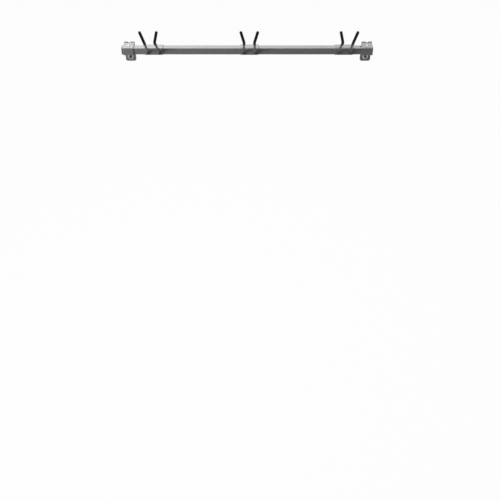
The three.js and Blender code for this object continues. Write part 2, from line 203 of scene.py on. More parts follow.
class ScrewSizes(bpy.types.PropertyGroup):
    """Sizes of the washers, the lag screws and the upper screws."""

    washer_bore: metres("Washer bore", "Width of a washer's hole", 0.00725)
    lag_head: metres("Lag head", "Height of a lag screw's head", 0.0044)
    lag_chamfer: metres("Head chamfer", "Chamfer of a lag screw's head", 0.0009)
    lag_shank: metres("Lag shank", "Width of a lag screw's shank", 0.00635)
    lag_plain: metres("Lag plain shank", "Length of a lag screw's shank without thread", 0.016)
    lag_point: metres("Lag point", "Length of a lag screw's point", 0.008)
    lag_pitch: metres("Lag pitch", "Pitch of a lag screw's thread", 0.00254)
    pan_head: metres("Upper head", "Height of an upper screw's head", 0.0028)
    pan_shank: metres("Upper shank", "Width of an upper screw's shank", 0.0042)
    pan_plain: metres("Upper plain shank", "Length of an upper screw's shank without thread", 0.003)
    pan_point: metres("Upper point", "Length of an upper screw's point", 0.004)
    pan_pitch: metres("Upper pitch", "Pitch of an upper screw's thread", 0.0018)
    recess_span: metres("Recess span", "Width of the cross in an upper screw", 0.0042)
    recess_width: metres("Recess slot", "Width of one slot of the cross", 0.0011)
    recess_depth: metres("Recess depth", "Depth of the cross", 0.0013)


class HangerSizes(bpy.types.PropertyGroup):
    """Sizes of the hangers. Reach is forward of the tube's front, height above its axis."""

    saddle: metres("Saddle", "Thickness of the saddle plate", 0.0027)
    saddle_fold: metres("Saddle fold", "Inside radius of the saddle's folds", 0.0033)
    saddle_back: metres("Back leg", "Height at which the back leg ends", -0.008)
    saddle_corner: metres("Saddle corner", "Radius of the corners of both legs", 0.004)
    rod: metres("Rod", "Width of a prong's rod", 0.00794)
    root_spacing: metres("Root spacing", "Between the rods on the saddle", 0.042)
    waist_spacing: metres("Waist spacing", "Between the rods where they turn up", 0.036)
    tip_spacing: metres("Tip spacing", "Between the tips", 0.06)
    root_reach: metres("Root reach", "How far forward the foot stands", 0.00737)
    foot_height: metres("Foot height", "Height of the rod's lower end", -0.008)
    rise_height: metres("Rise height", "Height where the rod leaves the saddle", 0.002)
    waist_reach: metres("Waist reach", "How far forward the waist is", 0.0865)
    waist_height: metres("Waist height", "Height of the waist", 0.0745)
    tip_reach: metres("Tip reach", "How far forward the tip is", 0.0965)
    tip_height: metres("Tip height", "Height of the tip", 0.1205)
    root_bend: metres("Root bend", "Radius of the bend at the saddle", 0.018)
    waist_bend: metres("Waist bend", "Radius of the bend at the waist", 0.02)
    sleeve: metres("Sleeve", "Width of a vinyl sleeve", 0.01)
    sleeve_below: metres("Sleeve length", "How far a sleeve reaches down the rod past the waist", 0.017)
    sleeve_lip: metres("Sleeve lip", "How far the lip stands out", 0.0003)
    sleeve_gap: metres("Sleeve gap", "Between a sleeve and its rod", 0.0001)
    foot_bead: metres("Foot weld", "Radius of the welds beside a rod's foot", 0.0015)


class MeshDetail(bpy.types.PropertyGroup):
    """How finely round forms are stepped, and how soft the edges are."""

    round_sides: whole("Round sides", "Sides of a round form", 48)
    rod_sides: whole("Rod sides", "Sides of a rod or sleeve", 40)
    thread_sides: whole("Thread sides", "Steps in one turn of a thread", 32)
    bead_sides: whole("Weld sides", "Sides of a weld bead", 16)
    fold_steps: whole("Fold steps", "Steps in a fold, a corner or a sleeve's round end", 10)
    bend_steps: whole("Bend steps", "Steps in a rod's or sleeve's bend", 18)
    cap_steps: whole("Cap steps", "Steps in a cap's outer rim", 5)
    rim_steps: whole("Rim steps", "Steps in the rim of a hole or rod", 3)
    soft_steps: whole("Soft steps", "Steps in a softened edge", 2)
    edge: metres("Edge", "Softening of cut edges", 0.0005)


GROUPS = {
    "rack_camera": RackCamera,
    "rack_stage": RackStage,
    "rack_finish": RackFinish,
    "rack_bar": BarSizes,
    "rack_bracket": BracketSizes,
    "rack_screws": ScrewSizes,
    "rack_hanger": HangerSizes,
    "rack_detail": MeshDetail,
}


# Modelling helpers

def select_only(*pieces):
    """Selects these objects and no others, and makes the first the active one."""
    bpy.ops.object.select_all(action="DESELECT")
    for piece in pieces:
        piece.select_set(True)
    bpy.context.view_layer.objects.active = pieces[0]


def settle(piece, at=(0, 0, 0), turn=(0, 0, 0), scale=(1, 1, 1)):
    """Scales, turns and moves a piece, and puts that into its mesh."""
    select_only(piece)
    piece.scale = scale
    piece.rotation_euler = turn
    piece.location = at
    bpy.ops.object.transform_apply(location=True, rotation=True, scale=True)


def start(primitive, name, scale=(1, 1, 1), turn=(0, 0, 0), at=(0, 0, 0), **options):
    """Adds a primitive at its size and place, with the place in its mesh."""
    bpy.ops.object.select_all(action="DESELECT")
    getattr(bpy.ops.mesh, f"primitive_{primitive}_add")(**options)
    piece = bpy.context.object
    piece.name = name
    piece.data.name = name
    settle(piece, at, turn, scale)
    return piece


def block(name, size, at, turn=(0, 0, 0)):
    """A box with its middle at a place."""
    return start("cube", name, scale=size, turn=turn, at=at, size=1)


def disc(name, radius, depth, at, sides, turn=(0, 0, 0)):
    """A cylinder about Z unless turned, with its middle at a place."""
    return start("cylinder", name, turn=turn, at=at, vertices=sides, radius=radius, depth=depth)


@contextmanager
def shaping(piece, mode="EDGE"):
    """Edit mode on one piece, with nothing selected at first."""
    select_only(piece)
    bpy.ops.object.mode_set(mode="EDIT")
    bpy.ops.mesh.select_mode(type=mode)
    bpy.ops.mesh.select_all(action="DESELECT")
    yield
    bpy.ops.object.mode_set(mode="OBJECT")


def pick(piece, mode, wanted):
    """In edit mode, selects the vertices, edges or faces for which wanted holds."""
    bpy.ops.mesh.select_mode(type=mode)
    bpy.ops.mesh.select_all(action="DESELECT")
    mesh = bmesh.from_edit_mesh(piece.data)
    parts = {"VERT": mesh.verts, "EDGE": mesh.edges, "FACE": mesh.faces}[mode]
    chosen = [part for part in parts if wanted(part)]
    if not chosen:
        raise RuntimeError(f"nothing to pick on {piece.name}")
    for part in chosen:
        part.select_set(True)
    mesh.select_flush_mode()
    bmesh.update_edit_mesh(piece.data)


def middle(edge):
    """The place halfway along an edge."""
    return (edge.verts[0].co + edge.verts[1].co) / 2


def near(here, there):
    """Whether two places are one."""
    return (here - there).length < TOUCH


def runs_along(edge, axis):
    """Whether an edge is parallel to the axis with that index."""
    run = (edge.verts[1].co - edge.verts[0].co).normalized()
    return abs(abs(run[axis]) - 1) < PARALLEL


def crosses_at(*heights):
    """A test for the edges that run along Y at any of these heights."""
    return lambda edge: runs_along(edge, 1) and any(abs(middle(edge).z - z) < TOUCH for z in heights)


def extrude(by):
    """In edit mode, draws out what is selected."""
    bpy.ops.mesh.extrude_region_move(TRANSFORM_OT_translate={"value": by})


def resize(shares, centre):
    """In edit mode, scales what is selected about a place."""
    bpy.ops.transform.resize(value=shares, center_override=centre)


def bevel_edges(width, steps):
    """In edit mode, rounds the selected edges, or chamfers them with one step."""
    bpy.ops.mesh.bevel(offset=width, segments=steps, affect="EDGES", clamp_overlap=True)


def apply_modifier(piece, kind, **settings):
    """Adds a modifier, sets it and applies it."""
    select_only(piece)
    modifier = piece.modifiers.new(kind.title(), kind)
    for name, value in settings.items():
        setattr(modifier, name, value)
    bpy.ops.object.modifier_apply(modifier=modifier.name)


def thicken(piece, thickness, offset):
    """Gives a skin its thickness: inwards with an offset of -1, both ways with 0."""
    apply_modifier(piece, "SOLIDIFY", thickness=thickness, offset=offset, use_even_offset=True)


def soften(piece, width, steps):
    """Rounds the sharp edges of a piece a little."""
    apply_modifier(
        piece,
        "BEVEL",
        width=width,
        segments=steps,
        limit_method="ANGLE",
        angle_limit=SHARP_ANGLE,
        harden_normals=False,
        miter_outer="MITER_ARC",
    )


def combine(piece, other, operation):
    """Cuts, joins or trims a piece with another, which is used up."""
    apply_modifier(piece, "BOOLEAN", object=other, operation=operation, solver="EXACT")
    bpy.data.objects.remove(other)


def drill(piece, width, depth, at, sides, turn=(0, 0, 0)):
    """Cuts a round hole about Z unless turned, with the drill's middle at a place."""
    combine(piece, disc("drill", width / 2, depth, at, sides, turn), "DIFFERENCE")


def join(piece, *others):
    """Makes other bodies part of a piece."""
    select_only(piece, *others)
    bpy.ops.object.join()


def face_outwards(piece):
    """Turns every face of a piece outwards."""
    with shaping(piece, "FACE"):
        bpy.ops.mesh.select_all(action="SELECT")
        bpy.ops.mesh.normals_make_consistent(inside=False)


def tidy(piece):
    """Merges doubled points and turns every face outwards."""
    with shaping(piece, "VERT"):
        bpy.ops.mesh.select_all(action="SELECT")
        bpy.ops.mesh.remove_doubles(threshold=MERGE)
    face_outwards(piece)


def close_ends(piece):
    """Fills every open ring of a piece and turns every face outwards."""
    with shaping(piece):
        bpy.ops.mesh.select_all(action="SELECT")
        bpy.ops.mesh.fill_holes(sides=0)
    face_outwards(piece)


def copy_of(piece, name, shift=(0, 0, 0), mirrored=False):
    """A copy with its own mesh, mirrored across X = 0 if asked and then moved."""
    select_only(piece)
    bpy.ops.object.duplicate(linked=False)
    twin = bpy.context.object
    twin.name = name
    twin.data.name = name
    if mirrored:
        settle(twin, scale=(-1, 1, 1))
        face_outwards(twin)
    settle(twin, at=shift)
    return twin


def centre_of(node):
    """The middle of a node's box."""
    low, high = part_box(node)
    return (low + high) / 2


def finish_piece(piece, node, body, slot, box_slack=BOX_SLACK):
    """Gives a piece its smoothing, finish and body in place of its node, whose box it has to fit."""
    select_only(piece)
    bpy.ops.object.shade_smooth_by_angle(angle=SMOOTH_ANGLE)
    apply_modifier(piece, "WEIGHTED_NORMAL", keep_sharp=True)
    piece.data.materials.clear()
    piece.data.materials.append(material_for(slot))
    low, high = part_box(node)
    points = [vertex.co for vertex in piece.data.vertices]
    for axis in range(3):
        off_low = min(point[axis] for point in points) - low[axis]
        off_high = max(point[axis] for point in points) - high[axis]
        if max(abs(off_low), abs(off_high)) > box_slack:
            off = f"{off_low:.4f}, {off_high:.4f}"
            raise RuntimeError(f"{piece.name} is off {node} by {off} on axis {axis}")
    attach(piece, body)
    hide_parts(node)


def place_pair(piece, name, node, slot, box_slack=BOX_SLACK):
    """Finishes a piece made at the left end of the bar, and its copy at the right end."""
    shift = centre_of(f"{node}_right") - centre_of(f"{node}_left")
    other = copy_of(piece, f"{name}_right", shift=shift)
    for twin, side in ((piece, "left"), (other, "right")):
        finish_piece(twin, f"{node}_{side}", "rail", slot, box_slack)


# Forms that several pieces share

def turned(name, profile, sides):
    """A round body about Z through (radius, height) points, drawn out ring by ring."""
    (radius, height), *rest = profile
    body = start("circle", name, at=(0, 0, height), vertices=sides, radius=radius, fill_type="NOTHING")
    with shaping(body, "VERT"):
        bpy.ops.mesh.select_all(action="SELECT")
        for next_radius, next_height in rest:
            extrude((0, 0, next_height - height))
            if next_radius:
                share = next_radius / radius
                resize((share, share, 1), (0, 0, next_height))
            else:
                bpy.ops.mesh.merge(type="CENTER")
            radius, height = next_radius, next_height
    close_ends(body)
    return body


def folded_strip(name, centre_x, width, line, fold_radius, thickness, steps):
    """A flat strip folded at right angles along (Y, Z) points of its middle surface."""
    points = [Vector((centre_x, y, z)) for y, z in line]
    first = points[1] - points[0]
    strip = start(
        "plane",
        name,
        scale=(width, first.length, 1),
        turn=(math.atan2(first.z, first.y), 0, 0),
        at=(points[0] + points[1]) / 2,
        size=1,
    )
    with shaping(strip):
        pick(strip, "EDGE", lambda e: near(middle(e), points[1]))
        for here, there in zip(points[1:], points[2:]):
            extrude(there - here)
        pick(strip, "EDGE", lambda e: any(near(middle(e), p) for p in points[1:-1]))
        bevel_edges(fold_radius, steps)
    thicken(strip, thickness, 0)
    tidy(strip)
    return strip


BEAD_RIPPLE = 0.0011  # from one swell of a bead to the next
LEAST_SWELLS = 3
SWELL_PLACE_SHARE = 0.45  # of a ripple: where its swell is widest
DIP_SHARE = 0.86  # of the bead's radius: between two swells
BEAD_END_SHARE = 0.55  # of the bead's radius: at its ends


def weld_bead(start_point, end_point, radius, sides):
    """A weld bead between two points: a row of overlapping swells with narrower ends."""
    run = Vector(end_point) - Vector(start_point)
    count = max(LEAST_SWELLS, round(run.length / BEAD_RIPPLE))
    step = run.length / count
    profile = [(radius * BEAD_END_SHARE, 0)]
    for i in range(count):
        profile.append((radius, (i + SWELL_PLACE_SHARE) * step))
        profile.append((radius * DIP_SHARE, (i + 1) * step))
    profile[-1] = (radius * BEAD_END_SHARE, count * step)
    bead = turned("bead", profile, sides)
    settle(bead, start_point, run.to_track_quat("Z", "Y").to_euler())
    return bead


def bent_tube(name, corners, radii, diameter, detail):
    """The open skin of a round bar from the first corner to the last, bent at those between."""
    run = (corners[1] - corners[0]).normalized()
    tube = start(
        "circle",
        name,
        turn=run.to_track_quat("Z", "Y").to_euler(),
        at=corners[0],
        vertices=detail.rod_sides,
        radius=diameter / 2,
        fill_type="NOTHING",
    )
    here = corners[0]
    with shaping(tube, "VERT"):
        bpy.ops.mesh.select_all(action="SELECT")
        for corner, after, radius in zip(corners[1:], corners[2:], radii):
            leaving = (after - corner).normalized()
            turn = run.angle(leaving)
            arc_start = corner - run * radius * math.tan(turn / 2)
            axis = run.cross(leaving).normalized()
            centre = arc_start + axis.cross(run) * radius
            extrude(arc_start - here)
            # Spin turns the other way round its axis, so the angle is taken with a minus.
            bpy.ops.mesh.spin(steps=detail.bend_steps, angle=-turn, center=centre, axis=axis)
            here = corner + leaving * radius * math.tan(turn / 2)
            run = leaving
        extrude(corners[-1] - here)
    return tube


ROOT_SHARE = 0.92  # of the core's radius: where a thread's ridge starts, inside the core
RIDGE_BASE_SHARE = 0.52  # of the pitch: the width of the ridge at its root
RIDGE_CREST_SHARE = 0.16  # of the ridge's base: its width at the crest


def thread(core, crest, pitch, top, bottom, sides):
    """A screw's thread about Z from top down to bottom: one ridge wound round the core."""
    inside = core * ROOT_SHARE
    ridge = start(
        "plane",
        "thread",
        scale=(crest - inside, pitch * RIDGE_BASE_SHARE, 1),
        turn=FORWARDS,
        at=((crest + inside) / 2, 0, bottom),
        size=1,
    )
    with shaping(ridge):
        pick(ridge, "EDGE", lambda e: middle(e).x > crest - TOUCH)
        resize((1, 1, RIDGE_CREST_SHARE), (crest, 0, bottom))
        bpy.ops.mesh.select_all(action="SELECT")
        bpy.ops.mesh.delete(type="ONLY_FACE")
    apply_modifier(
        ridge,
        "SCREW",
        axis="Z",
        screw_offset=pitch,
        iterations=max(1, round((top - bottom) / pitch)),
        steps=sides,
        render_steps=sides,
        use_merge_vertices=False,
    )
    close_ends(ridge)
    return ridge


CORE_SHARE = 0.72  # of the shank's radius: the core between the threads
TAPER_SHARE = 0.5  # of the shank's radius: the taper from the plain shank to the core
TRIM_SHARE = 1.03  # of the shank's radius: the body that trims the thread
THREAD_START_SHARE = 0.5  # of the pitch: from the plain shank to the thread
HEAD_OVERLAP = 0.0002  # how far a shank reaches into its head


def threaded_shank(width, plain, length, point, pitch, detail):
    """A wood screw's shank about Z, down from its head's seat at Z = 0."""
    crest = width / 2
    core = crest * CORE_SHARE
    point_top = point - length
    profile = [
        (crest, HEAD_OVERLAP),
        (crest, -plain),
        (core, -plain - crest * TAPER_SHARE),
        (core, point_top),
        (0, -length),
    ]
    shank = turned("shank", profile, detail.round_sides)
    top = -plain - pitch * THREAD_START_SHARE
    ridge = thread(core, crest, pitch, top, -length, detail.thread_sides)
    edge = crest * TRIM_SHARE
    envelope = turned("trim", [(edge, pitch), (edge, point_top), (0, -length)], detail.round_sides)
    combine(ridge, envelope, "INTERSECT")
    join(shank, ridge)
    return shank


# Finishes

def feed(tree, node, inputs):
    """Links each of a node's inputs to a socket, or sets it to a value."""
    for name, value in inputs.items():
        if isinstance(value, bpy.types.NodeSocket):
            tree.links.new(value, node.inputs[name])
        else:
            node.inputs[name].default_value = value


def add_node(tree, kind, inputs=None, **settings):
    """Adds a shader node with these settings and inputs."""
    node = tree.nodes.new(f"ShaderNode{kind}")
    for name, value in settings.items():
        setattr(node, name, value)
    feed(tree, node, inputs or {})
    return node


NOISE_SPAN = (0.3, 0.7)  # most of a noise lies between these


class Finish:
    """A node material on object coordinates, built up one node at a time."""

    def __init__(self, name):
        self.material = bpy.data.materials.new(name)
        self.material.use_nodes = True
        self.tree = self.material.node_tree
        self.place = self.add("TexCoord").outputs["Object"]

    def add(self, kind, inputs=None, **settings):
        """Adds a shader node to the material."""
        return add_node(self.tree, kind, inputs, **settings)

    def surface(self, **inputs):
        """Feeds the surface shader and returns the finished material."""
        shader = next(node for node in self.tree.nodes if node.type == "BSDF_PRINCIPLED")
        feed(self.tree, shader, {name.replace("_", " "): value for name, value in inputs.items()})
        return self.material

    def noise(self, size, detail=2.0):
        """Soft noise whose marks are about as wide as size."""
        inputs = {"Vector": self.place, "Scale": 1 / size, "Detail": detail}
        return self.add("TexNoise", inputs).outputs["Fac"]

    def between(self, factor, low, high, span=NOISE_SPAN):
        """A number that goes from low to high as factor rises through a span."""
        inputs = {"Value": factor, "From Min": span[0], "From Max": span[1], "To Min": low, "To Max": high}
        return self.add("MapRange", inputs).outputs["Result"]

    def shades(self, factor, colour, dark, light):
        """A colour from its dark share to its light one as factor rises."""
        ramp = self.add("ValToRGB", {"Fac": factor})
        for element, share in zip(ramp.color_ramp.elements, (dark, light)):
            element.color = (*(min(1.0, part * share) for part in colour), 1)
        return ramp.outputs["Color"]

    def bump(self, height, depth, strength, over=None):
        """A bumped normal, on top of another one if given."""
        inputs = {"Height": height, "Distance": depth, "Strength": strength}
        if over is not None:
            inputs["Normal"] = over
        return self.add("Bump", inputs).outputs["Normal"]


FLOW_SHARE = 2.2  # of a hammer mark's width: the width of the flow marks
DRIFT_SHARE = 12  # of a hammer mark's width: the width of the slow drift in tone
MARK_DEPTH_SHARE = 0.07  # of a hammer mark's width: its depth
TONE_SPAN = (0.55, 1.25)  # of the hammer and flow marks together
DRIFT_SPAN = (0.35, 0.7)  # of the slow drift
DULL = (0.78, 0.77, 0.77, 1)  # the tint that the paint drifts to


def hammered_paint(name, look, grey):
    """Hammered paint: shallow marks, a slow drift in tone, and a satin skin."""
    finish = Finish(name)
    marks = finish.add(
        "TexVoronoi",
        {"Vector": finish.place, "Scale": 1 / look.dimple, "Smoothness": 0.7, "Randomness": 1.0},
        feature="SMOOTH_F1",
    ).outputs["Distance"]
    drift = finish.noise(look.dimple * DRIFT_SHARE, detail=3.0)
    flow = finish.noise(look.dimple * FLOW_SHARE)
    tone = finish.add("Math", {0: marks, 1: flow}, operation="ADD").outputs["Value"]
    lightness = finish.between(tone, 0.0, 1.0, TONE_SPAN)
    dullness = finish.between(drift, 0.0, 0.3, DRIFT_SPAN)
    aged = finish.add(
        "Mix",
        {"Factor": dullness, "A": finish.shades(lightness, grey, dark=0.9, light=1.12), "B": DULL},
        data_type="RGBA",
        blend_type="MULTIPLY",
    )
    return finish.surface(
        Base_Color=aged.outputs["Result"],
        Roughness=finish.between(flow, 0.38, 0.5),
        Normal=finish.bump(marks, look.dimple * MARK_DEPTH_SHARE, strength=0.28),
        Metallic=0.0,
        IOR=1.5,
        Specular_IOR_Level=0.28,
    )


def grey_paint(look):
    """The paint of the bar, the brackets and the saddles."""
    return hammered_paint("grey_hammered_paint", look, look.paint)


def dark_paint(look):
    """The rods' paint: the grey hammered paint made darker, as painted shade for the shade that the rods
    lie in.
    """
    return hammered_paint("shaded_rod_hammered_paint", look, look.shaded_rod_paint)


ZINC_CLOUD = 0.004  # width of a cloud in the plating
ZINC_GRAIN = 0.0005  # width of a grain
ZINC_DEPTH = 0.00003  # depth of a grain


def zinc_plate(name, colour):
    """Zinc plating with a faint cloudy grain."""
    finish = Finish(name)
    cloud = finish.noise(ZINC_CLOUD, detail=3.0)
    return finish.surface(
        Base_Color=finish.shades(cloud, colour, dark=0.82, light=1.12),
        Roughness=finish.between(cloud, 0.26, 0.42),
        Normal=finish.bump(finish.noise(ZINC_GRAIN), ZINC_DEPTH, strength=0.5),
        Metallic=1.0,
    )


def bright_zinc(look):
    """The plating of the washers and the upper screws."""
    return zinc_plate("bright_zinc", look.zinc)


def dark_zinc(look):
    """The plating of the lag screws."""
    return zinc_plate("dark_zinc", look.dark_zinc)


VINYL_WAVE = 0.009  # width of a wave left by the dip
VINYL_WAVE_DEPTH = 0.0006
VINYL_GRAIN = 0.0007  # width of a grain
VINYL_GRAIN_DEPTH = 0.00003


def black_vinyl(look):
    """Black dipped vinyl: smooth, slightly glossy, with soft waves left by the dip."""
    finish = Finish("dipped_black_vinyl")
    waves = finish.noise(VINYL_WAVE, detail=1.5)
    soft = finish.bump(waves, VINYL_WAVE_DEPTH, strength=0.5)
    return finish.surface(
        Base_Color=finish.shades(waves, look.vinyl, dark=0.8, light=1.4),
        Roughness=finish.between(waves, 0.36, 0.5),
        Normal=finish.bump(finish.noise(VINYL_GRAIN), VINYL_GRAIN_DEPTH, strength=0.4, over=soft),
        Metallic=0.0,
        IOR=1.45,
        Specular_IOR_Level=0.1,
    )


PLASTIC_CLOUD = 0.006  # width of a patch that is lighter or darker
PLASTIC_GRAIN = 0.0004  # width of a grain
PLASTIC_DEPTH = 0.00006  # depth of a grain


def cap_plastic(look):
    """Dark moulded plastic with a fine spark-eroded grain."""
    finish = Finish("moulded_cap_plastic")
    grain = finish.noise(PLASTIC_GRAIN)
    return finish.surface(
        Base_Color=finish.shades(finish.noise(PLASTIC_CLOUD), look.plastic, dark=0.85, light=1.2),
        Roughness=finish.between(grain, 0.45, 0.62),
        Normal=finish.bump(grain, PLASTIC_DEPTH, strength=0.6),
        Metallic=0.0,
        IOR=1.48,
    )


FINISHES = {
    "grey_paint": grey_paint,
    "dark_paint": dark_paint,
    "zinc": bright_zinc,
    "dark_zinc": dark_zinc,
    "black_vinyl": black_vinyl,
    "cap_plastic": cap_plastic,
}
made_finishes = {}


def material_for(slot):
    """The material of a slot, made when it is first asked for."""
    if slot not in made_finishes:
        made_finishes[slot] = FINISHES[slot](bpy.context.scene.rack_finish)
    return made_finishes[slot]


# The stage

WHITE = (1, 1, 1, 1)


def white_to_lens(tree, seen_white, lit):
    """A shader that is seen_white to the camera, gloss and glass, and lit to all other light."""
    rays = add_node(tree, "LightPath").outputs
    total = rays["Is Camera Ray"]
    for ray in ("Is Glossy Ray", "Is Transmission Ray"):
        total = add_node(tree, "Math", {0: total, 1: rays[ray]}, use_clamp=True).outputs["Value"]
    return add_node(tree, "MixShader", {"Fac": total, 1: lit, 2: seen_white}).outputs["Shader"]


def empty_tree(holder):
    """The node tree of a new material or world, emptied."""
    holder.use_nodes = True
    holder.node_tree.nodes.clear()
    return holder.node_tree


def make_camera(place):
    """The camera in front of and above the bar, at the photograph's viewing angle."""
    bar_low, bar_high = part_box("bar_tube")
    aim = Vector((place.side, bar_low.y, bar_high.z))
    back = Vector((0, -math.cos(place.above), math.sin(place.above)))
    bpy.ops.object.camera_add(
        location=aim + back * place.distance, rotation=(RIGHT_ANGLE - place.tilt, 0, 0)
    )
    camera = bpy.context.object
    camera.name = "rack_camera"
    camera.data.sensor_width = SENSOR_WIDTH
    camera.data.lens = place.lens
    bpy.context.scene.camera = camera


def make_floor(stage):
    """A wide pale floor far below the rack."""
    floor = start("plane", "floor", at=(0, 0, -stage.floor_drop), size=stage.floor_size)
    material = bpy.data.materials.new("pale_floor")
    tree = empty_tree(material)
    lit = add_node(tree, "BsdfDiffuse", {"Color": (*stage.floor_colour, 1)}).outputs["BSDF"]
    glow = add_node(tree, "Emission", {"Strength": 1.0}).outputs["Emission"]
    seen = add_node(tree, "MixShader", {"Fac": stage.floor_glow, 1: lit, 2: glow}).outputs["Shader"]
    add_node(tree, "OutputMaterial", {"Surface": white_to_lens(tree, seen, lit)})
    floor.data.materials.append(material)


def make_world(stage):
    """Even daylight that is seen as white."""
    world = bpy.data.worlds.new("rack_daylight")
    bpy.context.scene.world = world
    tree = empty_tree(world)
    white, light = (
        add_node(tree, "Background", {"Color": WHITE, "Strength": strength}).outputs["Background"]
        for strength in (1.0, stage.daylight)
    )
    add_node(tree, "OutputWorld", {"Surface": white_to_lens(tree, white, light)})


def make_lamp(name, place, aim, size, power, colour):
    """A rectangular lamp that shines at a point and isn't seen itself."""
    bpy.ops.object.light_add(type="AREA", location=place)
    lamp = bpy.context.object
    lamp.name = name
    lamp.rotation_euler = (aim - Vector(place)).to_track_quat("-Z", "Y").to_euler()
    lamp.data.shape = "RECTANGLE"
    lamp.data.size, lamp.data.size_y = size
    lamp.data.energy = power
    lamp.data.color = colour
    lamp.visible_camera = False


class RACK_OT_stage(bpy.types.Operator):
    """Sets up the camera, the floor, the daylight and the lamps"""

    bl_idname = "rack.stage"
    bl_label = "Stage"

    def execute(self, context):
        stage = context.scene.rack_stage
        context.scene.view_settings.view_transform = "Standard"
        make_camera(context.scene.rack_camera)
        make_world(stage)
        make_floor(stage)
        rack = (cad_box[0] + cad_box[1]) / 2
        right = Vector(stage.side_place)
        left = Vector((-right.x, right.y, right.z))
        make_lamp("overhead_lamp", stage.key_place, rack, stage.key_size, stage.key_power, stage.key_colour)
        make_lamp("left_lamp", left, rack, stage.side_size, stage.left_power, stage.side_colour)
        make_lamp("right_lamp", right, rack, stage.side_size, stage.right_power, stage.side_colour)
        return {"FINISHED"}


# The bar

class RACK_OT_bar(bpy.types.Operator):
    """Models the square tube, with its rounded corners, open bore and the holes in its top"""

    bl_idname = "rack.bar"
    bl_label = "Bar"

    def execute(self, context):
        sizes = context.scene.rack_bar
        detail = context.scene.rack_detail
        low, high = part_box("bar_tube")
        centre = (low + high) / 2
        bar = block("bar", high - low, centre)
        with shaping(bar):
            pick(bar, "FACE", lambda f: abs(f.normal.x) > FACING)
            bpy.ops.mesh.delete(type="FACE")
            pick(bar, "EDGE", lambda e: runs_along(e, 0))
            bevel_edges(sizes.corner, detail.fold_steps)
        thicken(bar, sizes.wall, -1)
        tidy(bar)
        holes = self.holes(sizes)
        # A drill's middle is on the outer face here, so half of it stands outside.
        depth = 2 * CUTTER_SHARE * sizes.wall
        for x, width in holes:
            drill(bar, width, depth, (x, centre.y, high.z), detail.round_sides)

        def on_rim(edge):
            """Whether an edge lies in the top face, on the rim of a hole."""
            place = middle(edge)
            return abs(place.z - high.z) < TOUCH and any(
                math.hypot(place.x - x, place.y - centre.y) < width / 2 + TOUCH for x, width in holes
            )

        with shaping(bar):
            pick(bar, "EDGE", on_rim)
            bevel_edges(detail.edge, detail.rim_steps)
        finish_piece(bar, "bar_tube", "rail", "grey_paint")
        return {"FINISHED"}

    @staticmethod
    def holes(sizes):
        """The place along the bar and the width of each hole in its top wall."""
        rail_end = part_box("end_cap_right")[1].x
        holes = []
        for side, sign in SIDES.items():
            holes.append((sign * (rail_end - sizes.hole_inset), sizes.hole))
            holes.append((centre_of(f"top_screw_{side}").x, sizes.lock_hole))
        return holes


HOLLOW_SHARE = 0.95  # of a plug's length: how deep it is hollow


class RACK_OT_end_caps(bpy.types.Operator):
    """Models the plastic caps in the tube's ends, each with its hollow plug"""

    bl_idname = "rack.end_caps"
    bl_label = "End caps"

    def execute(self, context):
        sizes = context.scene.rack_bar
        detail = context.scene.rack_detail
        low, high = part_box("end_cap_right")
        centre = (low + high) / 2
        inner = high.x - sizes.flange
        plug = inner - low.x
        cap = block(
            "cap_right",
            (sizes.flange, high.y - low.y, high.z - low.z),
            (inner + sizes.flange / 2, centre.y, centre.z),
        )
        with shaping(cap):
            pick(cap, "EDGE", lambda e: runs_along(e, 0))
            bevel_edges(sizes.corner, detail.fold_steps)
            pick(cap, "FACE", lambda f: f.normal.x < -FACING)
            bpy.ops.mesh.inset(thickness=sizes.wall + sizes.plug_gap)
            extrude((-plug, 0, 0))
            bpy.ops.mesh.inset(thickness=sizes.plug_wall)
            extrude((plug * HOLLOW_SHARE, 0, 0))
            pick(cap, "EDGE", lambda e: abs(middle(e).x - high.x) < TOUCH)
            bevel_edges(sizes.cap_edge, detail.cap_steps)
        tidy(cap)
        other = copy_of(cap, "cap_left", mirrored=True)
        for piece, side in ((cap, "right"), (other, "left")):
            finish_piece(piece, f"end_cap_{side}", "rail", "cap_plastic")
        return {"FINISHED"}


# The brackets and their fasteners

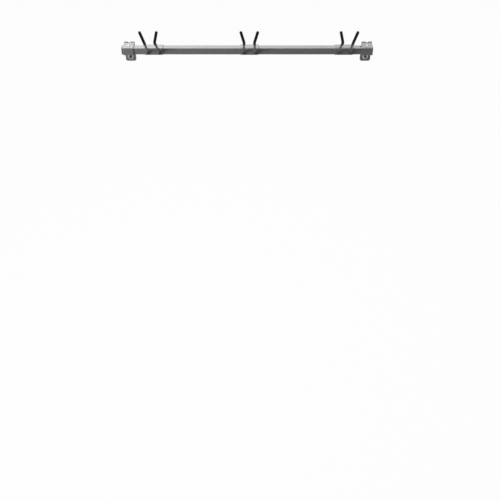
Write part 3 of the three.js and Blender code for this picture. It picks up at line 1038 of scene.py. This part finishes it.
class RACK_OT_brackets(bpy.types.Operator):
    """Models the wall brackets: a plate, a strap round the tube and the welds between them"""

    bl_idname = "rack.brackets"
    bl_label = "Wall brackets"

    def execute(self, context):
        sizes = context.scene.rack_bracket
        detail = context.scene.rack_detail
        low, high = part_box("wall_bracket_left")
        tube_low, tube_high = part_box("bar_tube")
        centre_x = (low.x + high.x) / 2
        width = high.x - low.x
        half = sizes.strap / 2
        # The middle surfaces of the plate and of the strap's front and top
        plate_y = -sizes.plate / 2
        strap_y = tube_low.y - sizes.gap - half
        strap_z = tube_high.z + sizes.gap + half
        strap_top = strap_z + half
        plate_top = strap_top + sizes.tab_rise
        bracket = block(
            "bracket_left",
            (width, sizes.plate, plate_top - low.z),
            (centre_x, plate_y, (low.z + plate_top) / 2),
        )
        with shaping(bracket):
            pick(bracket, "EDGE", crosses_at(low.z))
            bevel_edges(sizes.corner, detail.fold_steps)
            pick(bracket, "EDGE", crosses_at(plate_top))
            bevel_edges(sizes.tab_corner, detail.fold_steps)
        combine(bracket, self.slot_cutter(sizes, detail, centre_x, strap_top), "DIFFERENCE")
        strap = folded_strip(
            "strap",
            centre_x,
            width,
            [(plate_y, strap_z), (strap_y, strap_z), (strap_y, -strap_z), (plate_y, -strap_z)],
            context.scene.rack_bar.corner + sizes.gap + half,
            sizes.strap,
            detail.fold_steps,
        )
        combine(bracket, strap, "UNION")
        depth = sizes.plate * CUTTER_SHARE
        lag_place = (centre_x, plate_y, centre_of("lag_screw_left").z)
        drill(bracket, sizes.lag_hole, depth, lag_place, detail.round_sides, FORWARDS)
        lock_place = (centre_x, centre_of("bar_tube").y, strap_z)
        drill(bracket, sizes.lock_hole, depth, lock_place, detail.round_sides)
        tidy(bracket)
        soften(bracket, detail.edge, detail.soft_steps)
        edge = width / 2 - sizes.bead_inset
        beside_slot = sizes.slot / 2 + sizes.bead_inset
        welds = (
            (centre_x - edge, centre_x + edge, -strap_top),
            (centre_x - edge, centre_x - beside_slot, strap_top),
            (centre_x + beside_slot, centre_x + edge, strap_top),
        )
        beads = []
        for from_x, to_x, z in welds:
            ends = (from_x, -sizes.plate, z), (to_x, -sizes.plate, z)
            beads.append(weld_bead(*ends, sizes.bead, detail.bead_sides))
        join(bracket, *beads)
        # The upper tab stands above the node, whose plate ends level with the strap.
        slack = sizes.tab_rise + BOX_SLACK
        place_pair(bracket, "bracket", "wall_bracket", "grey_paint", box_slack=slack)
        return {"FINISHED"}

    @staticmethod
    def slot_cutter(sizes, detail, centre_x, strap_top):
        """The body that cuts the open slot, with its lower corners rounded."""
        bottom = strap_top + sizes.slot_floor
        height = sizes.tab_rise * CUTTER_SHARE
        cutter = block(
            "slot_cutter",
            (sizes.slot, sizes.plate * CUTTER_SHARE, height),
            (centre_x, -sizes.plate / 2, bottom + height / 2),
        )
        with shaping(cutter):
            pick(cutter, "EDGE", crosses_at(bottom))
            bevel_edges(sizes.slot_corner, detail.fold_steps)
        return cutter


QUAD_CORNERS = 4  # all of a washer's faces but its covers are quads
WASHER_EDGE_SHARE = 0.16  # of a washer's thickness: its worn edges
ROUND_SHARE = 1.6  # of a worn edge: how far the rounder edge on the head's side reaches
KNEE_IN_SHARE = 0.4  # of a worn edge: how far in the middle of that round lies
KNEE_DOWN_SHARE = 0.5  # of a worn edge: how far down the same point lies


class RACK_OT_washers(bpy.types.Operator):
    """Models the flat washers under the lag screws"""

    bl_idname = "rack.washers"
    bl_label = "Washers"

    def execute(self, context):
        sizes = context.scene.rack_screws
        low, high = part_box("lag_washer_left")
        centre = (low + high) / 2
        thickness = high.y - low.y
        bore = sizes.washer_bore / 2
        rim = (high.z - low.z) / 2
        soft = thickness * WASHER_EDGE_SHARE
        profile = [
            (bore, soft),
            (bore, thickness - soft),
            (bore + soft, thickness),
            (rim - soft * ROUND_SHARE, thickness),
            (rim - soft * KNEE_IN_SHARE, thickness - soft * KNEE_DOWN_SHARE),
            (rim, thickness - soft * ROUND_SHARE),
            (rim, soft),
            (rim - soft, 0),
            (bore + soft, 0),
        ]
        washer = turned("washer_left", profile, context.scene.rack_detail.round_sides)
        self.open_bore(washer)
        settle(washer, (centre.x, high.y, centre.z), FORWARDS)
        place_pair(washer, "washer", "lag_washer", "zinc")
        return {"FINISHED"}

    @staticmethod
    def open_bore(washer):
        """Takes the covers off the profile's two end rings and bridges them."""
        with shaping(washer, "FACE"):
            pick(washer, "FACE", lambda f: len(f.verts) > QUAD_CORNERS)
            bpy.ops.mesh.delete(type="FACE")
            pick(washer, "EDGE", lambda e: e.is_boundary)
            bpy.ops.mesh.bridge_edge_loops()
        face_outwards(washer)


HEX_SIDES = 6
HEX_EDGE_SHARE = 0.3  # of the softening of other edges


class RACK_OT_lag_screws(bpy.types.Operator):
    """Models the lag screws: a chamfered hexagonal head on a threaded, pointed shank"""

    bl_idname = "rack.lag_screws"
    bl_label = "Lag screws"

    def execute(self, context):
        sizes = context.scene.rack_screws
        detail = context.scene.rack_detail
        low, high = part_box("lag_screw_left")
        centre = (low + high) / 2
        corner = max(high.x - low.x, high.z - low.z) / 2
        rise = sizes.lag_head
        length = high.y - low.y - rise
        screw = disc("hex_screw_left", corner, rise, (0, 0, rise / 2), HEX_SIDES, (0, 0, RIGHT_ANGLE))
        # A drum with a chamfered rim trims the head's corners. It stands out past them by one
        # chamfer, so its own is two, and it is centred on the head's seat, so it is two heads high.
        trim = disc("trim", corner + sizes.lag_chamfer, rise * 2, (0, 0, 0), detail.round_sides * 2)
        with shaping(trim):
            pick(trim, "EDGE", lambda e: all(vertex.co.z > 0 for vertex in e.verts))
            bevel_edges(sizes.lag_chamfer * 2, 1)
        combine(screw, trim, "INTERSECT")
        soften(screw, detail.edge * HEX_EDGE_SHARE, detail.soft_steps)
        shank = threaded_shank(
            sizes.lag_shank, sizes.lag_plain, length, sizes.lag_point, sizes.lag_pitch, detail
        )
        join(screw, shank)
        settle(screw, (centre.x, low.y + rise, centre.z), FORWARDS)
        place_pair(screw, "hex_screw", "lag_screw", "dark_zinc")
        return {"FINISHED"}


# A domed head's profile, as shares of its radius and its height
DOME_SHARES = (
    (0.96, 0), (1, 0.12), (1, 0.45), (0.93, 0.66), (0.78, 0.84), (0.55, 0.95), (0.25, 1), (0, 1)
)
# How much of its length and its width a recess keeps at its floor
FLOOR_LENGTH_SHARE = 0.45
FLOOR_WIDTH_SHARE = 0.6


class RACK_OT_top_screws(bpy.types.Operator):
    """Models the upper screws: a domed head with a cross recess on a threaded shank"""

    bl_idname = "rack.top_screws"
    bl_label = "Upper screws"

    def execute(self, context):
        sizes = context.scene.rack_screws
        detail = context.scene.rack_detail
        low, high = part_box("top_screw_left")
        centre = (low + high) / 2
        radius = (high.x - low.x) / 2
        rise = sizes.pan_head
        length = high.z - low.z - rise
        profile = [(radius * across, rise * up) for across, up in DOME_SHARES]
        screw = turned("pan_screw_left", profile, detail.round_sides)
        self.cut_recess(screw, sizes, 0, (FLOOR_LENGTH_SHARE, FLOOR_WIDTH_SHARE, 1))
        self.cut_recess(screw, sizes, RIGHT_ANGLE, (FLOOR_WIDTH_SHARE, FLOOR_LENGTH_SHARE, 1))
        shank = threaded_shank(
            sizes.pan_shank, sizes.pan_plain, length, sizes.pan_point, sizes.pan_pitch, detail
        )
        join(screw, shank)
        settle(screw, (centre.x, centre.y, high.z - rise))
        place_pair(screw, "pan_screw", "top_screw", "zinc")
        return {"FINISHED"}

    @staticmethod
    def cut_recess(screw, sizes, turn, floor_shares):
        """Cuts one slot of the cross, narrower at its floor."""
        slot = block(
            "slot",
            (sizes.recess_span, sizes.recess_width, sizes.recess_depth * CUTTER_SHARE),
            (0, 0, sizes.pan_head),
            (0, 0, turn),
        )
        with shaping(slot):
            pick(slot, "FACE", lambda f: f.normal.z < -FACING)
            resize(floor_shares, (0, 0, sizes.pan_head - sizes.recess_depth))
        combine(screw, slot, "DIFFERENCE")


# The hangers

def hanger_shift(place):
    """How far a hanger stands along the bar from X = 0."""
    return Vector((centre_of(f"{place}_hanger_saddle").x, 0, 0))


class RACK_OT_saddles(bpy.types.Operator):
    """Models the saddles that hook over the bar"""

    bl_idname = "rack.saddles"
    bl_label = "Saddles"

    def execute(self, context):
        sizes = context.scene.rack_hanger
        detail = context.scene.rack_detail
        low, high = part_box("left_hanger_saddle")
        half = sizes.saddle / 2
        back = high.y - half
        front = low.y + half
        top = high.z - half
        saddle = folded_strip(
            "saddle",
            0,
            high.x - low.x,
            [(back, sizes.saddle_back), (back, top), (front, top), (front, low.z)],
            sizes.saddle_fold + half,
            sizes.saddle,
            detail.fold_steps,
        )
        with shaping(saddle):
            pick(saddle, "EDGE", crosses_at(low.z, sizes.saddle_back))
            bevel_edges(sizes.saddle_corner, detail.fold_steps)
        soften(saddle, detail.edge, detail.soft_steps)
        for place in HANGERS:
            piece = copy_of(saddle, f"{place}_saddle", shift=hanger_shift(place))
            finish_piece(piece, f"{place}_hanger_saddle", f"{place}_hanger", "grey_paint")
        bpy.data.objects.remove(saddle)
        return {"FINISHED"}


def prong_corners(sizes):
    """The foot, rise, waist and tip of a right prong's centre line, for a hanger at X = 0."""
    tube_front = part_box("bar_tube")[0].y

    def corner(spacing, reach, height):
        return Vector((spacing / 2, tube_front - reach, height))

    return [
        corner(sizes.root_spacing, sizes.root_reach, sizes.foot_height),
        corner(sizes.root_spacing, sizes.root_reach, sizes.rise_height),
        corner(sizes.waist_spacing, sizes.waist_reach, sizes.waist_height),
        corner(sizes.tip_spacing, sizes.tip_reach, sizes.tip_height),
    ]


def place_prongs(piece, part, slot):
    """Copies a piece made for the right prong to both prongs of every hanger, and uses it up."""
    for place in HANGERS:
        for side in SIDES:
            name = f"{place}_{part}_{side}"
            twin = copy_of(piece, name, shift=hanger_shift(place), mirrored=side == "left")
            finish_piece(twin, f"{place}_hanger_{part}_{side}", f"{place}_hanger", slot)
    bpy.data.objects.remove(piece)


FOOT_EDGE_SHARE = 1.4  # of the softening of other edges
FOOT_BEAD_ASIDE_SHARE = 0.43  # of the rod's width: from its centre line to a weld
FOOT_BEAD_OUT_SHARE = 0.55  # of a weld's radius: from the saddle's face to its centre line


class RACK_OT_rods(bpy.types.Operator):
    """Models the bent rods, with the welds that hold each foot to its saddle"""

    bl_idname = "rack.rods"
    bl_label = "Rods"

    def execute(self, context):
        sizes = context.scene.rack_hanger
        detail = context.scene.rack_detail
        foot, rise, waist, tip = prong_corners(sizes)
        # The rod ends at the centre of its sleeve's round end.
        end = tip - (tip - waist).normalized() * sizes.sleeve / 2
        bends = [sizes.root_bend, sizes.waist_bend]
        rod = bent_tube("rod", [foot, rise, waist, end], bends, sizes.rod, detail)
        close_ends(rod)
        with shaping(rod):
            pick(rod, "EDGE", lambda e: middle(e).z < sizes.foot_height + TOUCH)
            bevel_edges(detail.edge * FOOT_EDGE_SHARE, detail.rim_steps)
        radius = sizes.foot_bead
        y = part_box("left_hanger_saddle")[0].y - radius * FOOT_BEAD_OUT_SHARE
        beads = []
        for side in SIDES.values():
            x = foot.x + side * sizes.rod * FOOT_BEAD_ASIDE_SHARE
            ends = (x, y, sizes.foot_height + radius), (x, y, sizes.rise_height + radius)
            beads.append(weld_bead(*ends, radius, detail.bead_sides))
        join(rod, *beads)
        # The rods take the darker paint, whose darkness is painted shade.
        place_prongs(rod, "rod", "dark_paint")
        return {"FINISHED"}


SLEEVE_EDGE_SHARE = 0.6  # of the softening of other edges


class RACK_OT_sleeves(bpy.types.Operator):
    """Models the dipped sleeves, each with a rolled lip below and a round end"""

    bl_idname = "rack.sleeves"
    bl_label = "Sleeves"

    def execute(self, context):
        sizes = context.scene.rack_hanger
        detail = context.scene.rack_detail
        _, rise, waist, tip = prong_corners(sizes)
        rising = (waist - rise).normalized()
        last = (tip - waist).normalized()
        radius = sizes.sleeve / 2
        mouth = waist - rising * sizes.sleeve_below
        end = tip - last * radius
        sleeve = bent_tube("sleeve", [mouth, waist, end], [sizes.waist_bend], sizes.sleeve, detail)
        self.round_end(sleeve, end, last, radius, detail.fold_steps)
        with shaping(sleeve):
            pick(sleeve, "VERT", lambda v: abs((v.co - mouth).dot(rising)) < TOUCH)
            swell = 1 + sizes.sleeve_lip / radius
            resize((swell, swell, swell), mouth)
        face_outwards(sleeve)
        thicken(sleeve, radius - sizes.rod / 2 - sizes.sleeve_gap, -1)
        soften(sleeve, detail.edge * SLEEVE_EDGE_SHARE, detail.soft_steps)
        place_prongs(sleeve, "sleeve", "black_vinyl")
        return {"FINISHED"}

    @staticmethod
    def round_end(sleeve, centre, along, radius, steps):
        """Draws the upper ring out to a half sphere about a centre."""
        with shaping(sleeve):
            pick(sleeve, "VERT", lambda v: abs((v.co - centre).dot(along)) < TOUCH)
            reach, width = 0.0, 1.0
            for i in range(1, steps):
                angle = RIGHT_ANGLE * i / steps
                extrude(along * radius * (math.sin(angle) - reach))
                share = math.cos(angle) / width
                reach, width = math.sin(angle), math.cos(angle)
                resize((share, share, share), centre + along * radius * reach)
            extrude(along * radius * (1 - reach))
            bpy.ops.mesh.merge(type="CENTER")


class RACK_PT_panel(bpy.types.Panel):
    """Lists the rack's steps and sizes"""

    bl_idname = "RACK_PT_panel"
    bl_label = "Ski wall rack"
    bl_space_type = "VIEW_3D"
    bl_region_type = "UI"
    bl_category = "Ski rack"

    def draw(self, context):
        """Lays out a button for each step and a box of values for each group."""
        for step in STEPS:
            self.layout.operator(step.bl_idname)
        for name, group in GROUPS.items():
            box = self.layout.box()
            box.label(text=group.__name__)
            for size in group.__annotations__:
                box.prop(getattr(context.scene, name), size)


STEPS = (
    RACK_OT_stage,
    RACK_OT_bar,
    RACK_OT_end_caps,
    RACK_OT_brackets,
    RACK_OT_washers,
    RACK_OT_lag_screws,
    RACK_OT_top_screws,
    RACK_OT_saddles,
    RACK_OT_rods,
    RACK_OT_sleeves,
)


def register():
    """Registers the classes and gives the scene its groups of sizes."""
    for kind in (*GROUPS.values(), *STEPS, RACK_PT_panel):
        bpy.utils.register_class(kind)
    for name, group in GROUPS.items():
        setattr(bpy.types.Scene, name, PointerProperty(type=group))


def unregister():
    """Takes back what register did."""
    for name in GROUPS:
        delattr(bpy.types.Scene, name)
    for kind in (RACK_PT_panel, *reversed(STEPS), *reversed(GROUPS.values())):
        bpy.utils.unregister_class(kind)


def main():
    """Runs every step in order."""
    register()
    bpy.ops.rack.stage()
    bpy.ops.rack.bar()
    bpy.ops.rack.end_caps()
    bpy.ops.rack.brackets()
    bpy.ops.rack.washers()
    bpy.ops.rack.lag_screws()
    bpy.ops.rack.top_screws()
    bpy.ops.rack.saddles()
    bpy.ops.rack.rods()
    bpy.ops.rack.sleeves()


if __name__ == "__main__":
    main()
